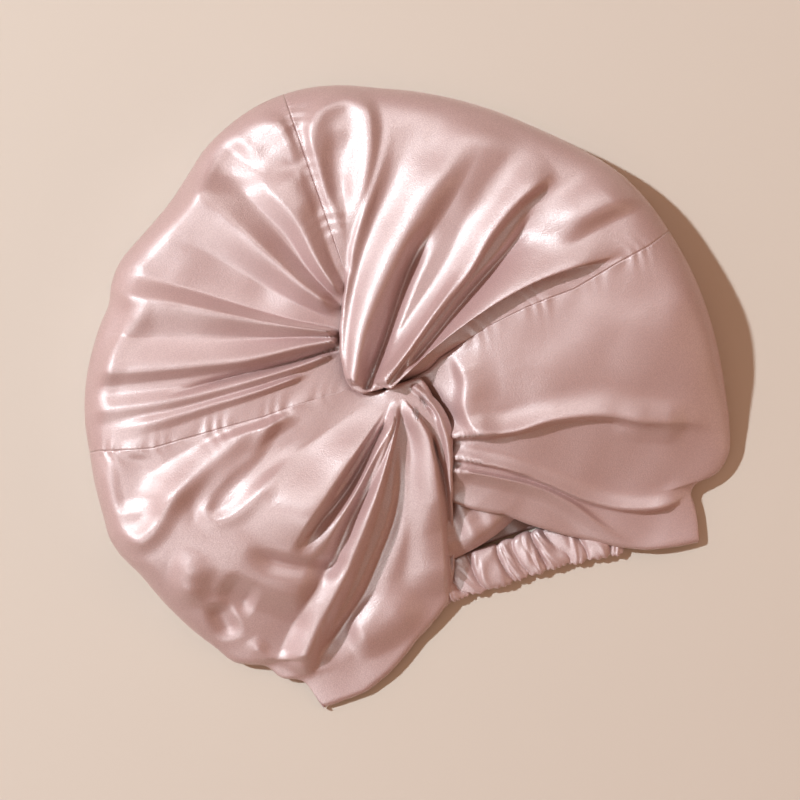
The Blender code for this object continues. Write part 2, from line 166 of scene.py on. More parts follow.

# %% [markdown]
# ## The folds
#
# A gathered panel is a soft dome with folds on it. A fold is a line that leaves the twist, with a
# height and a width on each side. A ridge is round on top, a crease is sharp at the bottom, and a
# fold that leans moves the cloth sideways, so that one side hangs over. Each table row is one
# fold. Folds are placed after the photograph, with the big ones first. Tents are big folds
# with straight sides. Where two of them meet the higher one counts, which leaves a sharp valley.

# %% Fold tables
# Columns: kind, places on the line as (right, down) on the grid, height, width on the left of the
# line, width on its right, share of the width at the start, lean, share of the line over which the
# fold rises, and share over which it fades. Height, widths and lean are shares of FOLD.
LEFT_FOLDS = [
    ("tent", ((342, 314), (300, 284), (262, 250), (226, 218), (196, 196), (172, 182)),
     0.95, 3.6, 2.8, 0.15, 0.0, 0.10, 0.22),
    ("tent", ((343, 300), (318, 262), (298, 222), (268, 188), (250, 172)),
     0.75, 1.8, 2.2, 0.2, 0.0, 0.10, 0.40),
    ("tent", ((341, 334), (287, 327), (234, 317), (190, 308), (150, 302), (100, 294)),
     1.00, 2.6, 1.6, 0.12, 0.0, 0.05, 0.02),
    ("tent", ((341, 341), (304, 348), (247, 361), (191, 367), (135, 371), (90, 372)),
     0.80, 1.0, 2.6, 0.15, 0.0, 0.05, 0.02),
    ("tent", ((338, 352), (300, 367), (240, 385), (180, 400), (112, 410), (85, 414)),
     0.45, 0.9, 1.1, 0.2, 0.0, 0.10, 0.05),
    ("tent", ((308, 374), (262, 391), (215, 405), (165, 420), (112, 431)),
     0.38, 0.7, 0.8, 0.3, 0.0, 0.10, 0.20),
    ("crest", ((220, 158), (200, 182), (184, 206), (163, 228), (138, 254), (118, 282)),
     0.42, 2.2, 1.0, 1.0, 0.0, 0.25, 0.15),
    ("round", ((300, 307), (255, 288), (212, 270), (180, 260)),
     -0.26, 2.8, 2.8, 0.7, 0.0, 0.30, 0.60),
    ("crest", ((160, 306), (138, 322), (120, 345), (106, 370), (97, 396), (94, 424)),
     0.32, 1.4, 0.9, 1.0, 0.0, 0.20, 0.20),
    ("crest", ((300, 172), (291, 142), (270, 122), (246, 118), (220, 137), (206, 160), (200, 190)),
     0.36, 1.8, 1.0, 1.0, 0.0, 0.15, 0.20),
    ("round", ((244, 140), (228, 164), (222, 200)),
     -0.40, 2.6, 2.0, 1.0, 0.0, 0.35, 0.35),
    ("round", ((318, 222), (300, 190), (286, 168)),
     0.30, 1.4, 1.2, 0.8, 0.0, 0.30, 0.40),
    ("sharp", ((341, 347), (295, 362), (226, 379), (165, 397)),
     -0.50, 0.4, 0.4, 0.4, 0.0, 0.05, 0.35),
]
TOP_FOLDS = [
    ("crest", ((343, 250), (326, 205), (312, 160), (318, 118), (343, 97), (365, 110), (370, 150),
               (363, 200), (352, 256)),
     0.40, 0.9, 1.3, 1.0, 0.0, 0.12, 0.15),
    ("round", ((340, 215), (336, 170), (343, 130)),
     -0.25, 1.0, 1.2, 0.7, 0.0, 0.25, 0.30),
    ("crest", ((340, 384), (343, 320), (356, 245), (380, 175), (393, 112)),
     0.25, 0.5, 0.7, 0.7, 0.0, 0.02, 0.35),
    ("round", ((354, 386), (366, 325), (392, 262), (432, 190), (462, 120)),
     0.90, 2.8, 1.7, 0.3, 0.0, 0.02, 0.30),
    ("sharp", ((366, 391), (385, 340), (407, 275), (432, 218)),
     -0.80, 1.1, 1.1, 0.3, 0.0, 0.02, 0.30),
    ("round", ((448, 225), (470, 165), (490, 115)),
     0.45, 3.2, 3.0, 0.6, 0.0, 0.35, 0.35),
    ("crest", ((374, 386), (422, 327), (463, 275), (489, 232), (520, 196), (556, 170)),
     0.80, 2.4, 0.8, 0.25, -0.2, 0.03, 0.18),
    ("sharp", ((400, 364), (443, 319), (504, 254), (536, 210)),
     -0.60, 0.6, 1.7, 0.2, 0.0, 0.10, 0.25),
    ("round", ((536, 246), (585, 216), (625, 196), (655, 182)),
     0.60, 2.4, 1.2, 0.8, 0.0, 0.30, 0.25),
    ("crest", ((380, 388), (433, 338), (499, 292), (561, 264), (626, 254)),
     0.90, 2.2, 0.5, 0.3, -0.5, 0.03, 0.25),
    ("crest", ((378, 380), (410, 340), (440, 300), (462, 268)),
     0.30, 0.5, 0.5, 0.5, 0.0, 0.10, 0.40),
]
RIGHT_FOLDS = [
    ("crest", ((451, 348), (464, 380), (464, 406), (475, 426), (505, 433)),
     0.50, 2.4, 0.8, 0.8, 0.0, 0.20, 0.25),
    ("sharp", ((428, 436), (507, 430), (550, 418), (599, 413), (645, 420), (690, 422), (728, 426)),
     0.70, 2.4, 0.80, 0.4, -0.15, 0.04, 0.50),
    ("round", ((610, 418), (650, 424), (690, 426)),
     0.30, 1.6, 1.2, 1.0, 0.0, 0.40, 0.30),
    ("sharp", ((428, 452), (502, 466), (550, 483), (589, 500), (633, 509), (672, 505), (700, 486)),
     0.55, 1.3, 0.40, 0.6, -0.10, 0.04, 0.15),
    ("sharp", ((428, 464), (526, 484), (570, 503), (605, 528), (640, 548)),
     0.45, 0.5, 1.4, 0.5, 0.0, 0.04, 0.40),
]
LOWER_FOLDS = [
    ("tent", ((386, 408), (352, 458), (322, 502), (300, 534), (284, 558)),
     1.05, 0.8, 6.0, 0.15, 0.0, 0.35, 0.45),
    ("tent", ((394, 410), (366, 474), (338, 524), (318, 562)),
     0.60, 0.5, 0.8, 0.2, 0.0, 0.25, 0.35),
    ("round", ((398, 398), (386, 446), (368, 508), (342, 572), (312, 630), (292, 680)),
     1.05, 1.2, 1.3, 0.25, 0.20, 0.15, 0.05),
    ("round", ((402, 397), (428, 436), (438, 492), (444, 556), (447, 601)),
     0.70, 0.5, 2.8, 0.2, 0.0, 0.15, 0.20),
    ("round", ((300, 408), (252, 432), (213, 464), (178, 490), (158, 520)),
     0.50, 2.0, 2.0, 0.4, 0.0, 0.15, 0.25),
    ("crest", ((222, 456), (196, 478), (174, 500), (158, 526), (140, 540), (120, 530), (108, 502),
               (102, 470), (98, 440)),
     0.42, 1.1, 1.1, 1.0, 0.0, 0.25, 0.25),
    ("round", ((158, 446), (142, 470), (134, 494), (136, 514)),
     -0.30, 1.8, 1.8, 1.0, 0.0, 0.30, 0.30),
    ("crest", ((300, 404), (277, 418), (256, 452), (229, 477), (212, 497), (209, 511), (219, 519),
               (238, 512), (262, 490), (290, 460), (325, 428)),
     0.22, 0.8, 1.0, 0.8, 0.0, 0.15, 0.20),
    ("sharp", ((386, 420), (352, 482), (322, 520), (297, 552)),
     -0.50, 1.1, 0.5, 0.3, 0.0, 0.05, 0.30),
    ("sharp", ((395, 416), (374, 474), (344, 535)),
     -0.40, 0.7, 0.35, 0.4, 0.0, 0.03, 0.40),
    ("sharp", ((400, 440), (397, 505), (380, 556), (357, 606), (316, 664)),
     -0.45, 1.5, 0.6, 0.5, 0.0, 0.40, 0.10),
    ("sharp", ((431, 432), (446, 490), (451, 560), (451, 600)),
     -0.50, 0.4, 0.4, 0.5, 0.0, 0.10, 0.20),
    ("sharp", ((418, 396), (431, 409), (441, 426)),
     -0.30, 0.25, 0.25, 0.8, 0.0, 0.20, 0.40),
    ("round", ((412, 384), (436, 412), (450, 460), (452, 560)),
     0.30, 0.4, 0.4, 0.7, 0.0, 0.05, 0.30),
    ("round", ((345, 645), (380, 630), (425, 600)),
     0.50, 2.0, 1.6, 1.0, 0.0, 0.30, 0.30),
    ("round", ((352, 470), (322, 530), (300, 580), (282, 625)),
     1.00, 1.8, 9.0, 0.8, 0.0, 0.35, 0.25),
    ("crest", ((246, 546), (280, 562), (318, 566), (350, 556)),
     -0.50, 0.8, 1.1, 1.0, 0.0, 0.30, 0.30),
    ("round", ((222, 578), (240, 594), (258, 604)),
     -0.42, 1.2, 1.2, 1.0, 0.0, 0.35, 0.35),
    ("round", ((216, 600), (222, 622), (230, 644)),
     -0.48, 1.0, 1.0, 1.0, 0.0, 0.35, 0.35),
    ("round", ((204, 548), (190, 580), (192, 612)),
     0.50, 1.4, 1.4, 1.0, 0.0, 0.40, 0.40),
    ("crest", ((248, 640), (264, 660), (288, 666)),
     0.35, 0.8, 0.8, 1.0, 0.0, 0.30, 0.20),
]
print("folds:", len(LEFT_FOLDS) + len(TOP_FOLDS) + len(RIGHT_FOLDS) + len(LOWER_FOLDS))


# %% One fold
LINE_STEPS = 8
POINT_SOFTNESS = {"crest": 0.35, "tent": 0.15, "sharp": 0.12}
TENT_FOOT = 0.25
TENT_START = 1.15
TENT_FALL = 0.45


def place(right, down):
    """X and Y from the twist, for a place on the grid over the picture, which is turned."""
    turn = math.radians(PICTURE_TURN)
    side = (right - TWIST_ON_GRID[0]) * GRID
    up = (TWIST_ON_GRID[1] - down) * GRID
    x = side * math.cos(turn) + up * math.sin(turn)
    y = up * math.cos(turn) - side * math.sin(turn)
    return np.array([x, y])


def nearest_on_line(line, x, y):
    """For every point: distance to the line, share of the way along it, side, and the way across.

    The side is 1 on the left of someone who walks along the line, and -1 on the right."""
    nearest = np.full(x.shape, np.inf)
    along = np.zeros(x.shape)
    side = np.ones(x.shape)
    across_x = np.zeros(x.shape)
    across_y = np.zeros(x.shape)
    for k in range(len(line) - 1):
        step = line[k + 1] - line[k]
        length = float(np.hypot(*step))
        dx, dy = x - line[k][0], y - line[k][1]
        share = np.clip((dx * step[0] + dy * step[1]) / length**2, 0.0, 1.0)
        distance = np.hypot(dx - share * step[0], dy - share * step[1])
        closer = distance < nearest
        nearest = np.where(closer, distance, nearest)
        along = np.where(closer, (k + share) / (len(line) - 1), along)
        side = np.where(closer, np.sign(step[0] * dy - step[1] * dx), side)
        across_x = np.where(closer, -step[1] / length, across_x)
        across_y = np.where(closer, step[0] / length, across_y)
    return nearest, along, side, across_x, across_y


def fold_line(places):
    """A smooth curve through a fold's places, as X and Y from the twist."""
    marks = np.array([place(*one) for one in places])
    number = np.arange(len(places))
    t = np.linspace(0.0, len(places) - 1.0, LINE_STEPS * len(places))
    return np.stack([smooth_through(np.stack([number, marks[:, k]], 1), t) for k in (0, 1)], 1)


def fold_profile(kind, d, along):
    """The height across a fold, where d is the distance as a share of its width.

    A round fold is (1 - d^2)^2. The others begin with s = 1 - d, its point softened. A crest and a
    sharp fold are s^2. A tent is nearly s with a soft foot, and gets lower along its line."""
    if kind == "round":
        return (1 - np.clip(d, 0, 1) ** 2) ** 2
    point = POINT_SOFTNESS[kind]
    softened = np.sqrt(d * d + point**2) - point
    slope = np.clip(1 - softened / (math.sqrt(1 + point**2) - point), 0, 1)
    if kind != "tent":
        return slope**2
    footed = (1 + TENT_FOOT) * slope**2 / (slope + TENT_FOOT)
    return footed * (TENT_START - TENT_FALL * along)


def fold_shape(row, x, y):
    """How far one fold moves each point, as (sideways X, sideways Y, up).

    It is the profile across the line, times a soft step where the fold rises and another where it
    fades. The width grows in a straight line from its share at the start."""
    kind, places, height, left, right, start, lean, rise, fade = row
    line = fold_line(places)
    margin = (max(left, right) + abs(lean)) * FOLD
    low, high = line.min(axis=0) - margin, line.max(axis=0) + margin
    inside = (x > low[0]) & (x < high[0]) & (y > low[1]) & (y < high[1])
    move = np.zeros((3,) + x.shape)
    if not inside.any():
        return move
    distance, along, side, across_x, across_y = nearest_on_line(line, x[inside], y[inside])
    width = np.where(side > 0, left, right) * FOLD * (start + (1 - start) * along)
    profile = fold_profile(kind, distance / width, along)
    profile = profile * soft_step(0.0, rise, along) * (1 - soft_step(1 - fade, 1.0, along))
    move[0][inside] = across_x * lean * FOLD * profile
    move[1][inside] = across_y * lean * FOLD * profile
    move[2][inside] = height * FOLD * profile
    return move


def all_folds(rows, x, y):
    """Every fold of a panel together: the highest of the tents, and the other folds added to it."""
    move = np.zeros((3,) + x.shape)
    for row in rows:
        if row[0] == "tent":
            shape = fold_shape(row, x, y)
            move = np.where(shape[2] > move[2], shape, move)
    for row in rows:
        if row[0] != "tent":
            move = move + fold_shape(row, x, y)
    return move


test_place = place(*LEFT_FOLDS[0][1][3])
test_move = fold_shape(LEFT_FOLDS[0], test_place[:1], test_place[1:])
print("the first left fold stands", round(float(test_move[2][0]) / MM, 1), "mm high")

# %% [markdown]
# ## A satin panel
#
# The plain front is a dome. It dips at the twist, where the cloth is pulled down, it is upright
# at the rim, and it gets low towards the head opening. Past the rim the cloth rolls under and
# meets the table. The real panel is thin, so the surface gets a second one just inside it, and
# a closed edge joins the two.


# %% The plain front
def shell_height(radius, share, y):
    """A dome, (1 - share^fullness)^(1/round), on a low rim.

    A bell curve lowers it at the twist, and a soft step lowers it at the mouth."""
    dome = np.clip(1 - share**RIM_FULLNESS, 0.0, 1.0) ** (1 / RIM_ROUND)
    mouth = MOUTH_SHARE + (1 - MOUTH_SHARE) * soft_step(MOUTH_FRONT, MOUTH_BACK, y)
    dip = 1 - KNOT_DIP * np.exp(-((radius / KNOT_WIDTH) ** 2))
    rim = RIM_HEIGHT * (RIM_AT_MOUTH + (1 - RIM_AT_MOUTH) * mouth)
    return rim + (CROWN_HEIGHT * dip - RIM_HEIGHT) * dome * mouth


print("middle of the front:", round(float(shell_height(0.05, 0.3, 0.0)) / MM, 1), "mm high")


# %% Meshes from grids
def smooth_body(name, points, quads, fans=()):
    """An object with smooth faces that look outward: the volume inside its quads is above 0."""
    mesh = bpy.data.meshes.new(name)
    mesh.from_pydata(points, [], quads.tolist() + list(fans))
    middle = points[quads].mean(axis=1)
    side_a = points[quads[:, 2]] - points[quads[:, 0]]
    side_b = points[quads[:, 3]] - points[quads[:, 1]]
    if float((middle * np.cross(side_a, side_b)).sum()) < 0:
        mesh.flip_normals()
    mesh.polygons.foreach_set("use_smooth", np.ones(len(mesh.polygons), bool))
    piece = bpy.data.objects.new(name, mesh)
    bpy.context.scene.collection.objects.link(piece)
    return piece


def closed_sheet(name, outer, inner):
    """A closed thin body between two grids of points, with a strip round its edge."""
    rows, columns = outer.shape[:2]
    count = rows * columns
    points = np.concatenate([outer.reshape(-1, 3), inner.reshape(-1, 3)])
    index = np.arange(count).reshape(rows, columns)
    corners = [index[:-1, :-1], index[1:, :-1], index[1:, 1:], index[:-1, 1:]]
    quads = np.stack(corners, -1).reshape(-1, 4)
    edge = np.concatenate([index[0, :], index[1:, -1], index[-1, -2::-1], index[-2:0:-1, 0]])
    following = np.roll(edge, -1)
    strip = np.stack([edge, following, following + count, edge + count], 1)
    return smooth_body(name, points, np.concatenate([quads, quads[:, ::-1] + count, strip]))


def closed_tube(name, points):
    """A tube between rings of points, with its two ends closed by fans."""
    rings, sides = points.shape[:2]
    index = np.arange(rings * sides).reshape(rings, sides)
    following = np.roll(index, -1, axis=1)
    walls = np.stack([index[:-1], index[1:], following[1:], following[:-1]], -1).reshape(-1, 4)
    ends = [[points[0].mean(axis=0)], [points[-1].mean(axis=0)]]
    all_points = np.concatenate([points.reshape(-1, 3), *ends])
    first = np.stack([np.full(sides, rings * sides), index[0], following[0]], 1)
    last = np.stack([np.full(sides, rings * sides + 1), following[-1], index[-1]], 1)
    return smooth_body(name, all_points, walls, first.tolist() + last.tolist())


def add_cloth_map(piece, across, along, faces=2):
    """A UV map in metres of cloth, the same on both faces of the sheet."""
    layer = piece.data.uv_layers.new(name="cloth")
    flat = np.stack([np.tile(along.ravel(), faces), np.tile(across.ravel(), faces)], 1)
    spare = len(piece.data.vertices) - len(flat)
    flat = np.concatenate([flat, np.repeat(flat[-1:], spare, axis=0)])
    corner = np.zeros(len(piece.data.loops), int)
    piece.data.loops.foreach_get("vertex_index", corner)
    layer.uv.foreach_set("vector", flat[corner].astype(np.float32).ravel())


print("sheets are", CLOTH / MM, "mm thick")

# %% The grid of a panel
COLUMNS = 200
DOME_ROWS = 165
ROLL_ROWS = 12
PANEL_START = 0.006
ROW_SPACING = 1.15
ROLLED = 2.0


def panel_grid(first_side, second_side):
    """Angle, radius, plain height and share of the way to the rim, across and along a panel.

    The side lines give the angle at both edges for each share, and the columns are spaced evenly
    between them. The rows are a sine of their number, so they lie closer at the rim. Past it the
    cloth rolls under by a quarter of an oval, and its share is ROLLED."""
    across = np.linspace(0.0, 1.0, COLUMNS)[:, None]
    first = straight_through(first_side, 1.0)
    last = straight_through(second_side, 1.0)
    rim_share = smooth_through(OUTLINE, first + (last - first) * across)
    run = np.linspace(0.0, 1.0, DOME_ROWS)[None, :]
    share = PANEL_START + (1 - PANEL_START) * np.sin(run * math.pi / 2) ** ROW_SPACING
    low_side = straight_through(first_side, share * rim_share[0])
    high_side = straight_through(second_side, share * rim_share[-1])
    radius = share * rim_share * REACH
    angle = np.radians(low_side + (high_side - low_side) * across)
    plain = shell_height(radius, share, radius * np.sin(angle))
    roll = np.linspace(0.0, math.pi / 2, ROLL_ROWS + 1)[None, 1:]
    roll_radius = radius[:, -1:] - TURN_UNDER * (1 - np.cos(roll))
    roll_height = plain[:, -1:] * (1 - np.sin(roll))
    radius = np.concatenate([radius, roll_radius], 1)
    plain = np.concatenate([plain, roll_height], 1)
    angle = np.concatenate([angle, np.repeat(angle[:, -1:], ROLL_ROWS, 1)], 1)
    on_dome = share * np.ones_like(across)
    share = np.concatenate([on_dome, np.full(roll_height.shape, ROLLED)], 1)
    return across, angle, radius, plain, share


grid_shape = panel_grid(SEAM_RIGHT, SEAM_TOP)[1].shape
print("a panel's grid:", grid_shape[0], "columns,", grid_shape[1], "rows")

# %% How panels end
EDGE_ROLL = 3.0 * MM
EDGE_DEPTH = 0.8
SEAM_HOLD = 7.0 * MM
SEAM_BEGINS = 12 * MM
STITCH_DEPTH = 0.22 * MM
STITCH_WAVE = 0.42 * MM
STITCH_PLACE = 1.0 * MM
STITCH_WIDTH = 0.7 * MM
PUCKER_DEPTH = 0.70 * MM
PUCKER_WAVE = 1.5 * MM
PUCKER_SWAY = 2.4
PUCKER_SWAY_WAVE = 5 * MM
PUCKER_SLANT = 3.5 * MM
PUCKER_VARIES = 0.4
PUCKER_VARIES_WAVE = 7.5 * MM
PUCKER_WIDTH = 4.5 * MM
HANG_WIDTH = 12 * MM
# How far two free edges hang below the cloth beside them. Columns: distance from the twist and
# depth, in millimetres.
EDGE_HANGS = {
    "draped": [(40, 0.0), (68, 0.0), (84, 6.0), (98, 5.0), (112, 2.0)],
    "tucked": [(20, 5.0), (55, 7.0), (70, 6.0), (82, 2.0), (95, 0.0)],
}


def sewn_share(radius, seam_from):
    """0 near the twist, where two panels only lie together, and 1 where their seam is sewn."""
    return soft_step(seam_from - SEAM_BEGINS, seam_from, radius)


def seam_shape(distance, radius):
    """How deep the cloth lies at a seam, from the distance to it.

    The stitches are a sine along the seam in a narrow bell curve beside it. The puckers are a
    slanting cosine along it whose length and depth vary. They die away as e^(-distance / width)."""
    phase = radius / PUCKER_WAVE + PUCKER_SWAY * np.sin(radius / PUCKER_SWAY_WAVE)
    strength = 1 - PUCKER_VARIES + PUCKER_VARIES * np.sin(radius / PUCKER_VARIES_WAVE + 1.0)
    pucker = np.cos(phase + distance / PUCKER_SLANT) * strength
    bell = np.exp(-(((distance - STITCH_PLACE) / STITCH_WIDTH) ** 2))
    stitch = STITCH_DEPTH * np.sin(radius / STITCH_WAVE) * bell
    return stitch - PUCKER_DEPTH * pucker * np.exp(-distance / PUCKER_WIDTH)


def edge_shape(distance, radius, kind, seam_from):
    """How far a panel's edge lies below its cloth, from the distance to the edge.

    A free edge is a quarter of a circle, where the cloth is folded under, and hangs lower by a bell
    curve across it. Along a seam the free edge gives way to the seam's shape."""
    roll = 1 - np.clip(distance / EDGE_ROLL, 0, 1)
    edge = EDGE_ROLL * EDGE_DEPTH * (1 - np.sqrt(1 - roll**2 + TINY))
    if kind in EDGE_HANGS:
        hang = straight_through(EDGE_HANGS[kind], radius / MM) * MM
        return edge + hang * np.exp(-((distance / HANG_WIDTH) ** 2))
    sewn = sewn_share(radius, seam_from)
    return seam_shape(distance, radius) * sewn + edge * (1 - sewn)


def seam_hold(distance, radius, kind, seam_from):
    """The share of its folds that cloth keeps near an edge: none on a seam, all past SEAM_HOLD."""
    if kind != "seam":
        return 1.0
    return 1 - sewn_share(radius, seam_from) * (1 - soft_step(0.0, SEAM_HOLD, distance))


print("free edges:", sorted(EDGE_HANGS))

# %% A panel from its tables
SLACK_FINE = 0.07 * MM
SLACK_SLOW = 0.22 * MM
# Columns: share of X, share of Y, length in millimetres, phase.
SLOW_WAVES = [(1.0, 1.0, 8.3, 1.4), (1.0, -1.4, 9.7, 0.0), (1.6, 1.0, 13.0, 0.0)]
FOLDS_END = 0.90


def swaying_wave(along, beside, length, sway, sway_length):
    """A sine along one way, whose phase sways by another sine. Both lengths are in millimetres."""
    return np.sin(along / (length * MM) + sway * np.sin(beside / (sway_length * MM)))


def slack(x, y):
    """Gentle waves that loose cloth keeps: two fine sines that sway, and three slow ones."""
    fine = swaying_wave(x, y, 4.1, 1.9, 9) + swaying_wave(y, x, 4.8, 1.7, 11)
    slow = 0.0
    for x_share, y_share, length, phase in SLOW_WAVES:
        slow = slow + np.sin((x_share * x + y_share * y) / (length * MM) + phase)
    return SLACK_FINE * fine + SLACK_SLOW * slow


def inner_offset(angle, radius, plain):
    """The way from the outer face to the inner one: the thickness, square to the plain front.

    The last row lies on the table, so there it is straight up."""
    out_step = np.gradient(radius, axis=1)
    up_step = np.gradient(plain, axis=1)
    length = np.hypot(out_step, up_step)
    inward = CLOTH * up_step / length
    upward = -CLOTH * out_step / length
    inward[:, -1] = 0.0
    upward[:, -1] = CLOTH
    return np.stack([inward * np.cos(angle), inward * np.sin(angle), upward], -1)


def satin_panel(name, first_side, second_side, folds, stack, edges):
    """The panel's grid with its folds and edges on it, as a thin closed sheet."""
    across, angle, radius, plain, share = panel_grid(first_side, second_side)
    x = radius * np.cos(angle)
    y = radius * np.sin(angle)
    from_first = (angle - angle[:1]) * radius
    to_second = (angle[-1:] - angle) * radius
    hold = seam_hold(from_first, radius, *edges[0]) * seam_hold(to_second, radius, *edges[1])
    drop = edge_shape(from_first, radius, *edges[0]) + edge_shape(to_second, radius, *edges[1])
    move = all_folds(folds, x, y) * hold
    lift = straight_through(stack, across) * MM * np.exp(-((radius / STACK_WIDTH) ** 2))
    fade = 1 - soft_step(FOLDS_END, 1.0, share)
    z = plain + (move[2] + lift + slack(x, y)) * fade - drop * (share < ROLLED)
    outer = np.stack([TWIST[0] + x + move[0] * fade, TWIST[1] + y + move[1] * fade, z], -1)
    piece = closed_sheet(name, outer, outer + inner_offset(angle, radius, plain))
    add_cloth_map(piece, from_first, radius)
    print(name, len(piece.data.polygons), "faces")
    return piece


# Columns: share of the panel's width, height over the plain front at the twist, in millimetres.
LEFT_STACK = [(0.0, -3.0), (1.0, 0.0)]
TOP_STACK = [(0.0, -3.0), (0.12, 3.0), (1.0, 7.0)]
RIGHT_STACK = [(0.0, -7.0), (1.0, -4.0)]
LOWER_STACK = [(0.0, 0.0), (0.5, 2.0), (1.0, 3.0)]

# How the first and the second side of each panel end: kind, and how far out a seam starts.
LEFT_EDGES = [("seam", 72 * MM), ("seam", 15 * MM)]
TOP_EDGES = [("seam", 55 * MM), ("seam", 72 * MM)]
RIGHT_EDGES = [("tucked", 0.0), ("seam", 55 * MM)]
LOWER_EDGES = [("seam", 15 * MM), ("draped", 0.0)]

left_panel = satin_panel("satin_left", UNDER_TOP, SEAM_LEFT, LEFT_FOLDS, LEFT_STACK, LEFT_EDGES)
top_panel = satin_panel("satin_top", SEAM_RIGHT, SEAM_TOP, TOP_FOLDS, TOP_STACK, TOP_EDGES)
right_panel = satin_panel(
    "satin_right", HEM_RIGHT, SEAM_RIGHT, RIGHT_FOLDS, RIGHT_STACK, RIGHT_EDGES
)
lower_panel = satin_panel(
    "satin_lower", SEAM_LEFT, HEM_LEFT, LOWER_FOLDS, LOWER_STACK, LOWER_EDGES
)

# %% [markdown]
# ## The gathered elastic edge
#
# Along the back of the opening the cloth is sewn into a casing, and the elastic inside pulls it
# into gathers. A gather is a plump fold across the casing, with a sharp valley on either side.
# The tube below is a flattened ring carried along the edge's middle line. Its thickness falls in
# each valley, and the valleys are spaced unevenly and lean a little, as real ones do.

# %% The elastic edge
# Columns: X and Y of the casing's middle line from the twist, as shares of reach.
BAND_LINE = [
    (-0.350, -0.625), (-0.280, -0.607), (-0.190, -0.585), (-0.075, -0.562), (0.060, -0.577),
    (0.225, -0.592), (0.390, -0.625), (0.470, -0.642),
]
BAND_WIDTH = 25 * MM
BAND_HEIGHT = 10.5 * MM
BAND_MIDDLE = 0.47
BAND_SIDES = 64
BAND_TAPER = 0.06
LOWEST = 0.15 * MM
GATHERS = 14
RINGS_PER_GATHER = 26
VALLEY_DEPTH = 0.85
VALLEY_NARROWS = 0.16
CREASE_DEPTH = 0.14
CRUMPLE = 0.35 * MM
RUFFLE = 0.4 * MM
HEM_FROM = 0.75
SIDE_POWER = 0.85
TOP_POWER = 0.8
LINE_PARTS = 900


def path_frame(rows, count):
    """Evenly spaced points along a smooth line, the direction at each, and the way run to it."""
    table = np.asarray(rows, float) * REACH
    fine = np.linspace(table[0, 0], table[-1, 0], LINE_PARTS)
    line = np.stack([fine, smooth_through(table, fine)], 1)
    run = np.concatenate([[0.0], np.cumsum(np.hypot(*np.diff(line, axis=0).T))])
    wanted = np.linspace(0.0, run[-1], count)
    x, y = np.interp(wanted, run, line[:, 0]), np.interp(wanted, run, line[:, 1])
    forward = np.stack([np.gradient(x), np.gradient(y)], 1)
    return x, y, forward / np.linalg.norm(forward, axis=1)[:, None], wanted


def gather_count(s, turn):
    """How many gathers lie before each point, spaced unevenly by slow sines and leaning.

    The rates and phases of the sines are chosen so that no two gathers are alike."""
    lean = (0.20 + 0.16 * np.sin(5.3 * s * math.pi + 0.8)) * np.cos(turn)
    lean = lean + 0.12 * np.sin(2 * turn + 9 * s)
    uneven = 0.012 * np.sin(6.1 * math.pi * s) + 0.009 * np.sin(17 * math.pi * s + 1)
    return GATHERS * (s + uneven) + lean


def gather_size(count, number, valley):
    """Half the height and half the width of the casing, from its gather count.

    The height is 1 - VALLEY_DEPTH * valley of a gather's own, and each gather's own size is a sine
    of its number. Some gathers have a narrow crease too, a cosine to the power 12."""
    plump = 0.80 + 0.22 * np.sin(2.7 * number + 1.1)
    crease = np.abs(np.cos((count * 2 + 0.3 * np.sin(number)) * math.pi)) ** 12
    crease = CREASE_DEPTH * crease * (np.sin(5 * number) > 0)
    half_height = BAND_HEIGHT / 2 * plump * (1 - VALLEY_DEPTH * valley - crease)
    half_width = BAND_WIDTH / 2 * (1 - VALLEY_NARROWS * valley + 0.03 * np.sin(3.1 * number))
    return half_height, half_width


def elastic_edge():
    """The casing: an oval ring carried along its line, made squarish by powers below 1.

    A valley is 1 - |sin|^0.5 of the gather count, so it is sharp. The hem has a small ruffle, a
    sine along it, where the stitches pull it, and the gathers are lightly crumpled."""
    x, y, forward, run = path_frame(BAND_LINE, GATHERS * RINGS_PER_GATHER)
    run = run[:, None]
    s = run / run[-1]
    turn = np.linspace(0, 2 * math.pi, BAND_SIDES, endpoint=False)[None, :]
    cosine, sine = np.cos(turn), np.sin(turn)
    count = gather_count(s, turn)
    number = np.floor(count + 0.5)
    valley = 1 - np.sqrt(np.abs(np.sin((count + 0.5) * math.pi)))
    half_height, half_width = gather_size(count, number, valley)
    taper = 0.5 + 0.5 * soft_step(0, BAND_TAPER, s) * (1 - soft_step(1 - BAND_TAPER, 1, s))
    ruffle = RUFFLE * swaying_wave(run, run, 0.6, 2, 5) * soft_step(HEM_FROM, 1.0, -cosine)
    half_height, half_width = half_height * taper, half_width * taper + ruffle
    across = np.sign(cosine) * np.abs(cosine) ** SIDE_POWER
    rise = np.sign(sine) * np.abs(sine) ** TOP_POWER
    crumple = np.sin(6 * across + 5 * np.sin(count * math.pi) + 2 * number)
    crumple = CRUMPLE * crumple * np.abs(sine) * (1 - valley)
    z = np.clip(BAND_HEIGHT * BAND_MIDDLE + half_height * rise + crumple, LOWEST, None)
    px = TWIST[0] + x[:, None] - forward[:, 1:2] * half_width * across
    py = TWIST[1] + y[:, None] + forward[:, 0:1] * half_width * across
    piece = closed_tube("satin_band", np.stack([px, py, z * np.ones_like(px)], -1))
    add_cloth_map(piece, run * np.ones_like(px), half_width * across, 1)
    print("elastic edge", round(float(run[-1, 0]) / MM), "mm long")
    return piece


elastic_band = elastic_edge()

# %% [markdown]
# ## The flap inside the mouth
#
# Between the two hems a small puff of cloth shows. It comes from under the crossing, swells and
# tucks down on the elastic edge. It is one curved sheet on a grid of angle and distance.

